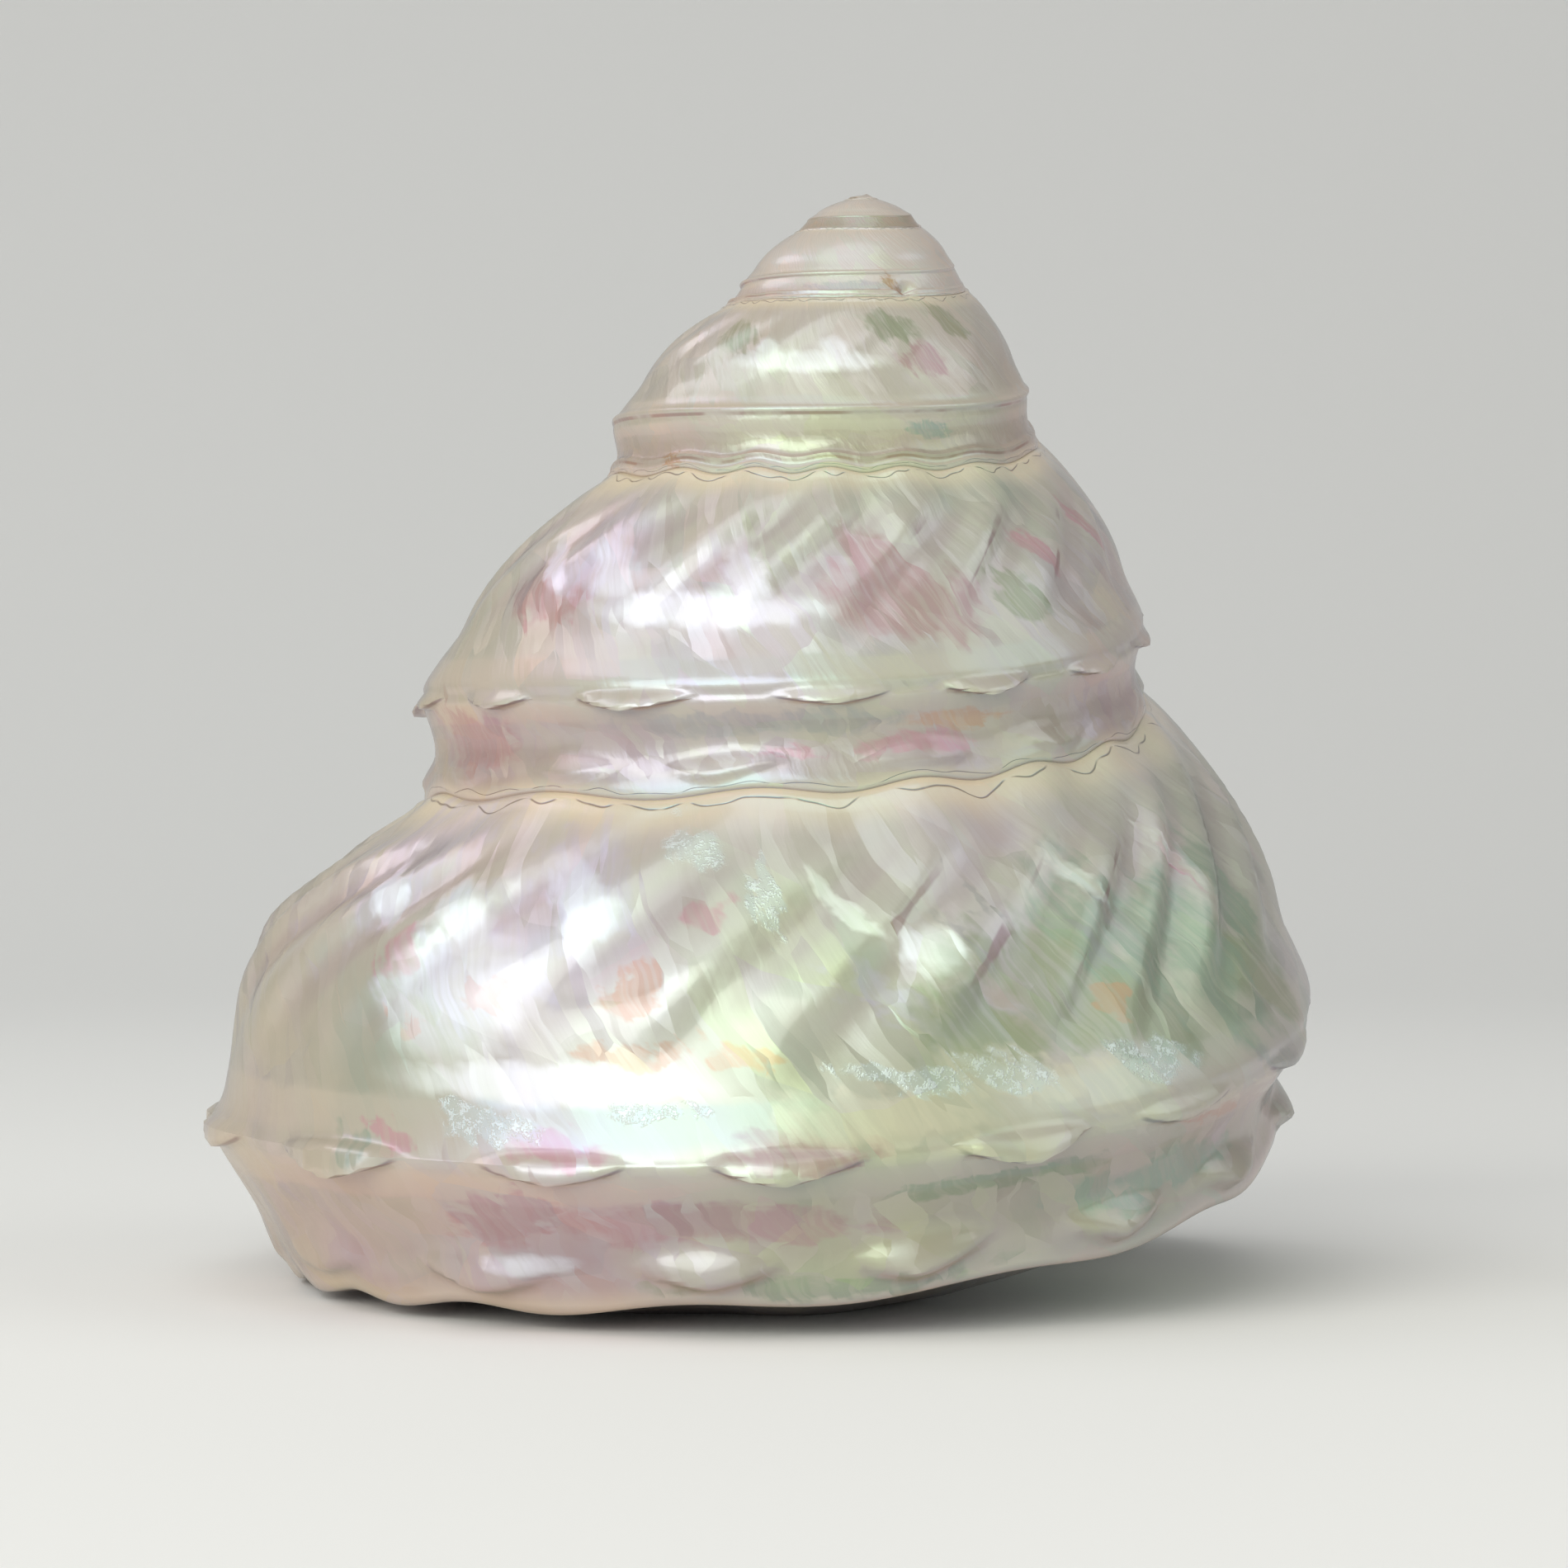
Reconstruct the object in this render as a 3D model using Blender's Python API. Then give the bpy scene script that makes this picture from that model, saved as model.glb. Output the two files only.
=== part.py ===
"""A large polished top shell, grown as one piece.

The wall is a strip that winds about the coiling axis. Each turn starts on the lower ridge of the
turn above it, swells into a shoulder with slanting folds, flares into a keel with low knobs, pulls
in to a band and ends on the next lower ridge. The last turn closes underneath with a convex base
and opens in the aperture, a hollow that winds back into the shell. The shell leans as it rests, on
a few small spots that are worn flat.
"""
import math

import bmesh
import bpy
from mathutils import Matrix, Vector

MM = 0.001

# How the shell rests: its coiling axis leans to the right and towards the viewer
LEAN_RIGHT = math.radians(5.3)
LEAN_FORWARD = math.radians(6.7)
WORN_DEPTH = 109.0 * MM          # from the tip down to the surface that it rests on
AXIS_FOOT = (10.86 * MM, -13.62 * MM)   # the tip, seen from above, from the middle of the outline

# The keel at every half turn, counted from the right-hand side of the last turn
KEEL_TURNS = (-5.5, -4.5, -4.0, -3.5, -3.0, -2.5, -2.0, -1.5, -1.0, -0.5, 0.0, 0.5, 0.75, 1.1)
KEEL_RADIUS = (0.2, 1.6, 4.6, 5.6, 9.3, 11.5, 17.6, 23.1, 31.4, 40.0, 51.8, 58.3, 60.0, 61.0)
KEEL_DEPTH = (0.0, 0.35, 1.5, 3.1, 6.2, 10.2, 18.0, 25.3, 39.5, 54.3, 75.2, 98.5, 108.5, 118.0)
FIRST_TURN = -4.5

# The lower ridge, as shares of the keel's radius: its radius, and its depth below the keel
RIDGE_TURNS = (-4.5, -3.0, -2.5, -2.0, -1.5, -1.0, -0.5, 0.0, 0.5, 1.1)
RIDGE_RADIUS = (1.2, 1.14, 1.13, 1.09, 1.0, 1.03, 0.965, 0.955, 0.81, 0.81)
RIDGE_DEPTH = (0.2, 0.22, 0.2, 0.27, 0.235, 0.255, 0.255, 0.26, 0.265, 0.265)
BAND_SHARES = (0.0, 0.10, 0.5, 0.88)    # keel, its underside, band and ridge's crest, on that way
KEEL_UNDERCUT = 0.014            # how far the keel's underside draws in, of the keel's radius
BAND_PULL = 0.03                 # how far the band pulls in between keel and ridge
RIDGE_ROLL = 0.008               # how far the ridge's crest stands out
CARVED_TURNS = (-3.0, -1.5)      # over these turns the keel and the band become distinct
FLATTER_TURNS = (0.0, 0.5)       # over these the spire's profile becomes the last turn's

# The shoulder from the seam to the keel: share of the drop, and share of the radius gained by then
SHOULDER_DROP = (0.0, 0.1, 0.25, 0.4, 0.55, 0.7, 0.85, 0.94, 1.0)
SHOULDER_SPIRE = (0.0, 0.19, 0.40, 0.57, 0.70, 0.80, 0.925, 0.99, 1.0)
SHOULDER_LAST = (0.0, 0.20, 0.50, 0.72, 0.835, 0.875, 0.90, 0.925, 1.0)

# Knobs on the keel and the ridge, and the slanting folds of the shoulder
KNOBS_PER_TURN = 15
KEEL_KNOB = 0.017
RIDGE_KNOB = 0.014
FOLD = 0.011
FOLD_SLANT = 0.075               # in turns, between the keel and the seam
RELIEF_TURNS = (-3.0, -0.6)      # the knobs and folds grow over these turns

# The base under the last turn, and the aperture
BASE_CENTRE_DEPTH = 109.0 * MM
BASE_ROUNDNESS = 1.25            # a higher power keeps the base's outer part flatter
BASE_SWELL = 2.1 * MM            # at the front, where the base rests
SWELL_TURNS = (-0.05, 0.22, 0.25, 0.5)  # where that starts, is full, begins to fade and ends
LIP_TURN = 1.01                  # where the lip meets the seam
LIP_LEAN = 0.12                  # how much further the lip draws back, towards the base
LIP_REACH = 0.45                 # in turns, how early it starts to draw back
HOLLOW_SHARE = 0.88              # of the space between the turns, the rest is wall
HOLLOW_START = LIP_TURN + 0.03   # just past the lip, so that it opens
HOLLOW_END = -1.4                # turn where the hollow ends
HOLLOW_STEPS = 66
FLOOR_DEPTH = 0.3                # of a turn's floor at the axis, below its keel, of its radius
PILLAR = 3.0 * MM                # height of the pillar's foot between the hollow's floor and roof

STEPS_PER_TURN = 90
GROWTH_LEAN = 9                  # steps that a growth line draws back from the seam to the ridge
SHOULDER_LEAN = 0.75             # the shoulder's share of that
BAND_LEAN = (0.75, 0.79, 0.87, 0.96)    # the share at the keel, its underside, the band, the crest
SHOULDER_ROWS = 11
BASE_ROWS = 7
TRIANGLE_SHARE = 0.2
TIP_RISE = 0.15 * MM             # of the very tip above the first keel
GROUND_REACH = 0.2               # half the width of the box that wears the base flat, in metres


def curve(x, xs, ys):
    """A smooth curve through the given points, read at x."""
    last = len(xs) - 2
    i = 0
    while i < last and x > xs[i + 1]:
        i += 1

    def slope(k):
        low, high = max(k - 1, 0), min(k + 1, len(xs) - 1)
        return (ys[high] - ys[low]) / (xs[high] - xs[low])

    span = xs[i + 1] - xs[i]
    s = min(max((x - xs[i]) / span, 0.0), 1.0)
    start, end = slope(i) * span, slope(i + 1) * span
    return ((2 * s**3 - 3 * s**2 + 1) * ys[i] + (s**3 - 2 * s**2 + s) * start
            + (3 * s**2 - 2 * s**3) * ys[i + 1] + (s**3 - s**2) * end)


def ease(x, low, high):
    """Rises smoothly from 0 at low to 1 at high."""
    s = min(max((x - low) / (high - low), 0.0), 1.0)
    return s * s * (3 - 2 * s)


def keel(turn):
    """Radius and depth of the keel."""
    return curve(turn, KEEL_TURNS, KEEL_RADIUS) * MM, curve(turn, KEEL_TURNS, KEEL_DEPTH) * MM


def ridge(turn):
    """Radius and depth of the lower ridge, where the next turn is laid on."""
    radius, depth = keel(turn)
    return (radius * curve(turn, RIDGE_TURNS, RIDGE_RADIUS),
            depth + radius * curve(turn, RIDGE_TURNS, RIDGE_DEPTH))


def relief(turn):
    """The first turns are smooth, and the knobs and folds grow with the shell."""
    return ease(turn, *RELIEF_TURNS)


def knob(turn):
    return math.cos(2 * math.pi * KNOBS_PER_TURN * turn)


def shoulder_point(turn, drop):
    """A point between the seam and the keel, as radius and depth."""
    seam_radius, seam_depth = ridge(turn - 1.0)
    keel_radius, keel_depth = keel(turn)
    age = ease(turn, *FLATTER_TURNS)
    gain = ((1 - age) * curve(drop, SHOULDER_DROP, SHOULDER_SPIRE)
            + age * curve(drop, SHOULDER_DROP, SHOULDER_LAST))
    radius = seam_radius + gain * (keel_radius - seam_radius)
    depth = seam_depth + drop * (keel_depth - seam_depth)
    wave = knob(turn + FOLD_SLANT * (1 - drop)) * math.sin(math.pi * drop) ** 0.8
    radius += FOLD * relief(turn) * keel_radius * wave
    depth -= 0.5 * FOLD * relief(turn) * keel_radius * wave
    return radius, depth


def keel_point(turn, below):
    """A point on the keel (below 0), its underside (1), the band (2) or the ridge's crest (3)."""
    keel_radius, keel_depth = keel(turn)
    ridge_radius, ridge_depth = ridge(turn)
    share = BAND_SHARES[below]
    carved = ease(turn, *CARVED_TURNS) * keel_radius
    radius = keel_radius + share * (ridge_radius - keel_radius)
    depth = keel_depth + share * (ridge_depth - keel_depth)
    if below < 2:
        radius += KEEL_KNOB * relief(turn) * keel_radius * knob(turn)
    if below == 1:
        radius -= KEEL_UNDERCUT * carved
    if below == 2:
        radius -= BAND_PULL * (1 - ease(turn, *FLATTER_TURNS)) * carved
    if below == 3:
        radius += (RIDGE_ROLL + RIDGE_KNOB * relief(turn) * knob(turn)) * keel_radius
    return radius, depth


def base_point(turn, inward, centre_depth):
    """A point under the turn, from its ridge (inward 0) to the axis (1)."""
    ridge_radius, ridge_depth = ridge(turn)
    radius = ridge_radius * (1 - inward)
    sink = math.sin(math.pi / 2 * inward) ** BASE_ROUNDNESS
    front = ease(turn, *SWELL_TURNS[:2]) * (1 - ease(turn, *SWELL_TURNS[2:]))
    swell = BASE_SWELL * front * math.sin(math.pi * inward) ** 2
    return radius, ridge_depth + sink * (centre_depth - ridge_depth) + swell


def outer_rows():
    """Every row of the strip between two seams, with its share of a growth line's lean."""
    rows = []
    for k in range(SHOULDER_ROWS):
        drop = k / SHOULDER_ROWS
        rows.append((SHOULDER_LEAN * drop, shoulder_point, drop))
    for below, share in enumerate(BAND_LEAN):
        rows.append((share, keel_point, below))
    rows.append((1.0, lambda turn, _: ridge(turn), 0))
    return rows


def turned(radius, depth, turn):
    """A point of the upright shell. It coils to the right: each turn runs clockwise from above."""
    angle = -2 * math.pi * turn
    return Vector((radius * math.cos(angle), radius * math.sin(angle), -depth))


def lip_draw(step_turn, share):
    """The last stretch before the lip draws back further towards the base."""
    return LIP_LEAN * ease(step_turn, LIP_TURN - LIP_REACH, LIP_TURN) * math.sqrt(share)


def grown_solid(mesh):
    """The shell as if it were full: the winding strip, the base, and caps at both ends."""
    rows = outer_rows()
    lean = GROWTH_LEAN / STEPS_PER_TURN
    first = round(FIRST_TURN * STEPS_PER_TURN)
    last = round(LIP_TURN * STEPS_PER_TURN)
    weld = STEPS_PER_TURN - GROWTH_LEAN
    base_start = last - weld

    tip = mesh.verts.new((0.0, 0.0, TIP_RISE))
    columns = {}
    for step in range(first, last + 1):
        seam = tip if step - weld < first else columns[step - weld][-1]
        column = [seam]
        for share, place, where in rows[1:]:
            step_turn = step / STEPS_PER_TURN
            turn = step_turn - lean * share - lip_draw(step_turn, share)
            column.append(mesh.verts.new(turned(*place(turn, where), turn)))
        columns[step] = column

    centre = mesh.verts.new((0.0, 0.0, -BASE_CENTRE_DEPTH))
    under = {}
    for step in range(base_start, last + 1):
        ring = [columns[step][-1]]
        for k in range(1, BASE_ROWS):
            inward = k / BASE_ROWS
            step_turn = step / STEPS_PER_TURN
            turn = step_turn - lean * (1 + inward) - lip_draw(step_turn, 1 + inward)
            ring.append(mesh.verts.new(turned(*base_point(turn, inward, BASE_CENTRE_DEPTH), turn)))
        under[step] = ring + [centre]

    def strip(left, right):
        for a, b, c, d in zip(left, left[1:], right[1:], right):
            corners = []
            for vertex in (a, b, c, d):
                if vertex not in corners:
                    corners.append(vertex)
            if len(corners) > 2:
                mesh.faces.new(corners)

    for step in range(first, last):
        strip(columns[step], columns[step + 1])
    for step in range(base_start, last):
        strip(under[step], under[step + 1])
    mesh.faces.new(columns[first])
    mesh.faces.new(columns[last] + under[last][1:] + under[base_start][-2:0:-1])


def inner_floor(turn):
    """Depth at the axis of the wall between a turn and the next one."""
    keel_radius, keel_depth = keel(turn)
    return min(keel_depth + FLOOR_DEPTH * keel_radius, BASE_CENTRE_DEPTH)


def section(step_turn):
    """The space of one turn, cut along a growth line: points of radius, depth and turn."""
    lean = GROWTH_LEAN / STEPS_PER_TURN
    points = []
    for share, place, where in outer_rows()[::2]:
        turn = step_turn - lean * share - lip_draw(step_turn, share)
        points.append((*place(turn, where), turn))
    for inward in (0.0, 0.3, 0.6, 1.0):
        turn = step_turn - lean * (1 + inward) - lip_draw(step_turn, 1 + inward)
        points.append((*base_point(turn, inward, inner_floor(turn)), turn))
    near_lip = ease(step_turn, LIP_TURN - 0.5, LIP_TURN - 0.05)     # half a turn of easing
    for inward in (1.0, 0.6, 0.3):
        above = step_turn - 1 - lean * inward
        roof = inner_floor(above) * (1 - near_lip) + (BASE_CENTRE_DEPTH - PILLAR) * near_lip
        points.append((*base_point(above, inward, roof), above + 1))
    return points


def hollow_solid(mesh):
    """The space inside the last turns, as a tube that ends in a rounded tip."""
    rings = []
    for k in range(HOLLOW_STEPS + 1):
        along = k / HOLLOW_STEPS
        step_turn = HOLLOW_START + (HOLLOW_END - HOLLOW_START) * along
        points = section(step_turn)
        middle_radius = sum(p[0] for p in points) / len(points)
        middle_depth = sum(p[1] for p in points) / len(points)
        size = HOLLOW_SHARE * math.sqrt(1 - ease(along, 0.9, 1.03) ** 2)
        ring = []
        for radius, depth, turn in points:
            ring.append(mesh.verts.new(turned(middle_radius + size * (radius - middle_radius),
                                              middle_depth + size * (depth - middle_depth), turn)))
        rings.append(ring)
    for ring, following in zip(rings, rings[1:]):
        for k in range(len(ring)):
            j = (k + 1) % len(ring)
            mesh.faces.new((ring[k], ring[j], following[j], following[k]))
    mesh.faces.new(rings[0])
    mesh.faces.new(rings[-1])


def solid_object(name, fill):
    """An object whose mesh is filled by the given function, leaned as the shell rests."""
    mesh = bmesh.new()
    fill(mesh)
    bmesh.ops.triangulate(mesh, faces=mesh.faces[:])
    lean = Matrix.Rotation(LEAN_RIGHT, 4, "Y") @ Matrix.Rotation(LEAN_FORWARD, 4, "X")
    place = Matrix.Translation((*AXIS_FOOT, WORN_DEPTH)) @ lean
    bmesh.ops.transform(mesh, matrix=place, verts=mesh.verts[:])
    bmesh.ops.recalc_face_normals(mesh, faces=mesh.faces[:])
    data = bpy.data.meshes.new(name)
    mesh.to_mesh(data)
    mesh.free()
    made = bpy.data.objects.new(name, data)
    bpy.context.scene.collection.objects.link(made)
    return made


def guide_box(name, low, high):
    """A box that cuts, from its lowest to its highest corner."""
    mesh = bmesh.new()
    bmesh.ops.create_cube(mesh, size=1.0)
    for vertex in mesh.verts:
        for axis in range(3):
            vertex.co[axis] = high[axis] if vertex.co[axis] > 0 else low[axis]
    data = bpy.data.meshes.new(name)
    mesh.to_mesh(data)
    mesh.free()
    made = bpy.data.objects.new(name, data)
    bpy.context.scene.collection.objects.link(made)
    return made


def cut_away(target, cutter):
    cutter.hide_render = True
    cutter.display_type = "WIRE"
    cut = target.modifiers.new(cutter.name, "BOOLEAN")
    cut.operation = "DIFFERENCE"
    cut.solver = "EXACT"
    cut.object = cutter


def nacre():
    """Mother-of-pearl, ground and polished."""
    material = bpy.data.materials.new("nacre")
    material.use_nodes = True
    shader = material.node_tree.nodes["Principled BSDF"]
    shader.inputs["Base Color"].default_value = (0.64, 0.58, 0.50, 1.0)
    shader.inputs["Roughness"].default_value = 0.18
    shader.inputs["Metallic"].default_value = 0.0
    return material


for old in list(bpy.data.objects):
    bpy.data.objects.remove(old, do_unlink=True)

shell = solid_object("shell", grown_solid)
shell.data.materials.append(nacre())
fewer = shell.modifiers.new("fewer faces", "DECIMATE")
fewer.ratio = TRIANGLE_SHARE
ground = guide_box("ground", (-GROUND_REACH,) * 3, (GROUND_REACH, GROUND_REACH, 0.0))
cut_away(shell, ground)
hollow = solid_object("hollow", hollow_solid)
cut_away(shell, hollow)
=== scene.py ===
import math

import bpy
import numpy as np
from mathutils import Matrix, Vector, noise


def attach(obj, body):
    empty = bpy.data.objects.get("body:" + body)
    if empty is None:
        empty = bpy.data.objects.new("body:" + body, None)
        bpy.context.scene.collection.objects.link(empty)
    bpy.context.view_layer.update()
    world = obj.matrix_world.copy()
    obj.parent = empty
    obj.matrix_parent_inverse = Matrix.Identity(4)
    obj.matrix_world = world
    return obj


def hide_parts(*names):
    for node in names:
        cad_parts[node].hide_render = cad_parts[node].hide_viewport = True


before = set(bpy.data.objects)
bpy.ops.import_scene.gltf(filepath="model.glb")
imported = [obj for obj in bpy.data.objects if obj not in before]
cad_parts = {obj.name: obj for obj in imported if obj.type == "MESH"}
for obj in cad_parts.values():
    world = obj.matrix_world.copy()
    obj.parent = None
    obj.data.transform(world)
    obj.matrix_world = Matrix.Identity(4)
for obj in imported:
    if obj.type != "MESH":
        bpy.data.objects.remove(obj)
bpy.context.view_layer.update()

MM = 0.001

# The camera. It looks level at the side of the shell that shows its spire and last turn, from just
# under half a metre, with the tip and the base both in the frame.
camera_data = bpy.data.cameras.new("camera")
camera_data.lens = 100.0
camera_data.sensor_width = 36.0
camera_data.clip_start = 0.01
camera_data.clip_end = 20.0
camera = bpy.data.objects.new("camera", camera_data)
camera.location = (2.67 * MM, -446.5 * MM, 50.5 * MM)
camera.rotation_euler = (math.radians(90.0), 0.0, 0.0)
bpy.context.scene.collection.objects.link(camera)
bpy.context.scene.camera = camera

# The shell's wall. It grew as one piece: a strip of mother-of-pearl laid on turn by turn, each turn
# welded to the ridge of the turn above it. A keel and a second ridge run along it, and the last turn
# closes underneath with a convex base. The shell leans as it rests, on spots that are worn flat.
LEAN_RIGHT = math.radians(5.3)
LEAN_FORWARD = math.radians(6.7)
WORN_DEPTH = 109.0 * MM
AXIS_FOOT = (10.86 * MM, -13.62 * MM)

# The keel's radius and depth at some of its turns, and the ridge's as shares of that radius.
KEEL_TURNS = (-5.5, -4.5, -4.0, -3.5, -3.0, -2.5, -2.0, -1.5, -1.0, -0.5, 0.0, 0.5, 0.75, 1.1)
KEEL_RADIUS = (0.2, 1.6, 4.6, 5.6, 9.3, 11.5, 17.6, 23.1, 31.4, 40.0, 51.8, 58.3, 60.0, 61.0)
KEEL_DEPTH = (0.0, 0.35, 1.5, 3.1, 6.2, 10.2, 18.0, 25.3, 39.5, 54.3, 75.2, 98.5, 108.5, 118.0)
RIDGE_TURNS = (-4.5, -3.0, -2.5, -2.0, -1.5, -1.0, -0.5, 0.0, 0.5, 1.1)
RIDGE_RADIUS = (1.2, 1.14, 1.13, 1.09, 1.0, 1.03, 0.965, 0.955, 0.81, 0.81)
RIDGE_DEPTH = (0.2, 0.22, 0.2, 0.27, 0.235, 0.255, 0.255, 0.26, 0.265, 0.265)
SHOULDER_DROP = (0.0, 0.1, 0.25, 0.4, 0.55, 0.7, 0.85, 0.94, 1.0)
SHOULDER_SPIRE = (0.0, 0.19, 0.40, 0.57, 0.70, 0.80, 0.925, 0.99, 1.0)
SHOULDER_LAST = (0.0, 0.20, 0.50, 0.72, 0.835, 0.875, 0.90, 0.925, 1.0)
BAND_PULL = 0.03                 # of the keel's radius, between keel and ridge
RIDGE_ROLL = 0.008
SEAM_WAVE = 0.45                 # in mm
SEAM_WAVES_PER_TURN = 14.5
FIRST_TURN = -4.5
TIP_RISE = 0.15
LIP_TURN = 1.0125
LIP_LEAN = 0.12
LIP_REACH = 0.45
GROWTH_LEAN = 0.1                # turns that a growth line draws back from the seam to the ridge
BASE_CENTRE_DEPTH = 109.0        # in mm, as all radii and depths
BASE_SWELL = 2.1

STEPS_PER_TURN = 240
COARSE_UNTIL = -2.0              # the narrow first turns have half as many steps
SLACK = 1e-6                     # keeps a comparison clear of rounding


def curve(x, xs, ys):
    """A smooth curve through the given points, read at every x."""
    xs, ys = np.array(xs, float), np.array(ys, float)
    i = np.clip(np.searchsorted(xs, x, side="left") - 1, 0, len(xs) - 2)
    slopes = np.empty(len(xs))
    slopes[1:-1] = (ys[2:] - ys[:-2]) / (xs[2:] - xs[:-2])
    slopes[0] = (ys[1] - ys[0]) / (xs[1] - xs[0])
    slopes[-1] = (ys[-1] - ys[-2]) / (xs[-1] - xs[-2])
    span = xs[i + 1] - xs[i]
    s = np.clip((x - xs[i]) / span, 0.0, 1.0)
    return ((2 * s**3 - 3 * s**2 + 1) * ys[i] + (s**3 - 2 * s**2 + s) * slopes[i] * span
            + (3 * s**2 - 2 * s**3) * ys[i + 1] + (s**3 - s**2) * slopes[i + 1] * span)


def ease(x, low, high):
    """Rises smoothly from 0 at low to 1 at high."""
    s = np.clip((x - low) / (high - low), 0.0, 1.0)
    return s * s * (3 - 2 * s)


def keel(turn):
    """Radius and depth of the keel, in mm."""
    return curve(turn, KEEL_TURNS, KEEL_RADIUS), curve(turn, KEEL_TURNS, KEEL_DEPTH)


def ridge(turn):
    """Radius and depth of the lower ridge, where the next turn is laid on in a wavy seam."""
    radius, depth = keel(turn)
    wave = np.sin(2 * math.pi * SEAM_WAVES_PER_TURN * turn + 2.0 * np.sin(2 * math.pi * 2.3 * turn))
    return (radius * curve(turn, RIDGE_TURNS, RIDGE_RADIUS),
            depth + radius * curve(turn, RIDGE_TURNS, RIDGE_DEPTH)
            + SEAM_WAVE * ease(turn, -3.0, -1.0) * wave)


def wall_point(turn, across, centre_depth):
    """Radius and depth at 0 for the seam, 1 for the keel, 2 for the ridge and 3 for the axis."""
    seam_radius, seam_depth = ridge(turn - 1.0)
    keel_radius, keel_depth = keel(turn)
    ridge_radius, ridge_depth = ridge(turn)
    age = ease(turn, 0.0, 0.5)
    drop = np.clip(across, 0.0, 1.0)
    gain = ((1 - age) * curve(drop, SHOULDER_DROP, SHOULDER_SPIRE)
            + age * curve(drop, SHOULDER_DROP, SHOULDER_LAST))
    shoulder = (seam_radius + gain * (keel_radius - seam_radius),
                seam_depth + drop * (keel_depth - seam_depth))
    below = np.clip(across - 1.0, 0.0, 1.0)
    pull = BAND_PULL * (1 - age) * ease(turn, -3.0, -1.5) * np.sin(math.pi * below) ** 1.5
    roll = RIDGE_ROLL * np.sin(math.pi * below**5)
    band = (keel_radius + below * (ridge_radius - keel_radius) + (roll - pull) * keel_radius,
            keel_depth + below * (ridge_depth - keel_depth))
    inward = np.clip(across - 2.0, 0.0, 1.0)
    sink = np.sin(math.pi / 2 * inward) ** 1.25
    front = ease(turn, -0.05, 0.22) * (1 - ease(turn, 0.25, 0.5))
    swell = BASE_SWELL * front * np.sin(math.pi * inward) ** 2
    base = ridge_radius * (1 - inward), ridge_depth + sink * (centre_depth - ridge_depth) + swell
    parts = [across <= 1.0, across <= 2.0]
    return (np.select(parts, [shoulder[0], band[0]], base[0]),
            np.select(parts, [shoulder[1], band[1]], base[1]))


def lean_share(across):
    """The part of a growth line's lean that is reached there."""
    return np.interp(across, (0.0, 1.0, 2.0, 3.0), (0.0, 0.75, 1.0, 2.0))


def lip_draw(step_turn, across):
    """The last stretch before the lip draws back further towards the base."""
    return LIP_LEAN * ease(step_turn, LIP_TURN - LIP_REACH, LIP_TURN) * np.sqrt(lean_share(across))


def turned(radius, depth, turn):
    """Points of the leaning shell in metres, from radius and depth in mm."""
    angle = -2 * math.pi * turn
    upright = np.stack((radius * np.cos(angle), radius * np.sin(angle), -depth), axis=-1) * MM
    lean = Matrix.Rotation(LEAN_RIGHT, 3, "Y") @ Matrix.Rotation(LEAN_FORWARD, 3, "X")
    return upright @ np.array(lean).T + np.array((*AXIS_FOOT, WORN_DEPTH))


def read(items, name, each=3):
    """The values of that name of all items, one after the other."""
    values = np.empty(len(items) * each)
    items.foreach_get(name, values)
    return values


def wound_grid(name, columns, rows, lay):
    """A grid whose columns and rows the given function lays along the spiral."""
    bpy.ops.object.select_all(action="DESELECT")
    bpy.ops.mesh.primitive_grid_add(x_subdivisions=columns, y_subdivisions=rows, size=2.0)
    made = bpy.context.object
    made.name = made.data.name = name
    flat = read(made.data.vertices, "co")
    column = np.rint((flat[0::3] + 1) / 2 * columns).astype(int)
    row = np.rint((flat[1::3] + 1) / 2 * rows).astype(int)
    place, along, across = lay(column, row)
    made.data.vertices.foreach_set("co", place.ravel())
    corner = np.empty(len(made.data.loops), int)
    made.data.loops.foreach_get("vertex_index", corner)
    uv = np.stack((along, across), axis=-1)[corner]
    made.data.uv_layers[0].data.foreach_set("uv", uv.ravel())
    made.data.update()
    return made, along, across


# The rows are closest where the form turns fastest: at the seam, the keel's crest and the ridge.
across_rows = np.concatenate((
    (0.0, 0.006, 0.013, 0.022, 0.034), np.linspace(0.055, 0.78, 20), np.linspace(0.8, 0.9, 6),
    np.linspace(0.9125, 1.0, 8), np.linspace(1.025, 1.25, 10), np.linspace(1.3, 1.6, 6),
    np.linspace(1.64, 1.97, 11), (1.986, 2.0), np.linspace(2.04, 3.0, 18)))


def outer_wall(column, row):
    """The strip from its first turn to the lip, with the base below its ridge."""
    step_turn = FIRST_TURN + column / STEPS_PER_TURN
    # The seam takes the steps of the turn above it, so that the two meet point for point.
    under_coarse = (row == 0) & (step_turn < COARSE_UNTIL + 1 - GROWTH_LEAN - SLACK)
    odd = (column % 2 == 1) & ((step_turn < COARSE_UNTIL) | under_coarse)
    step_turn = step_turn - odd / STEPS_PER_TURN
    across = across_rows[row]
    turn = step_turn - GROWTH_LEAN * lean_share(across) - lip_draw(step_turn, across)
    radius, depth = wall_point(turn, across, BASE_CENTRE_DEPTH)
    tip = (row == 0) & (step_turn < FIRST_TURN + 1 - GROWTH_LEAN - SLACK)
    radius, depth = np.where(tip, 0.0, radius), np.where(tip, -TIP_RISE, depth)
    return turned(radius, depth, turn), step_turn, across


columns = round((LIP_TURN - FIRST_TURN) * STEPS_PER_TURN)
pearl, along, across = wound_grid("pearl_shell", columns, len(across_rows) - 1, outer_wall)

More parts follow.
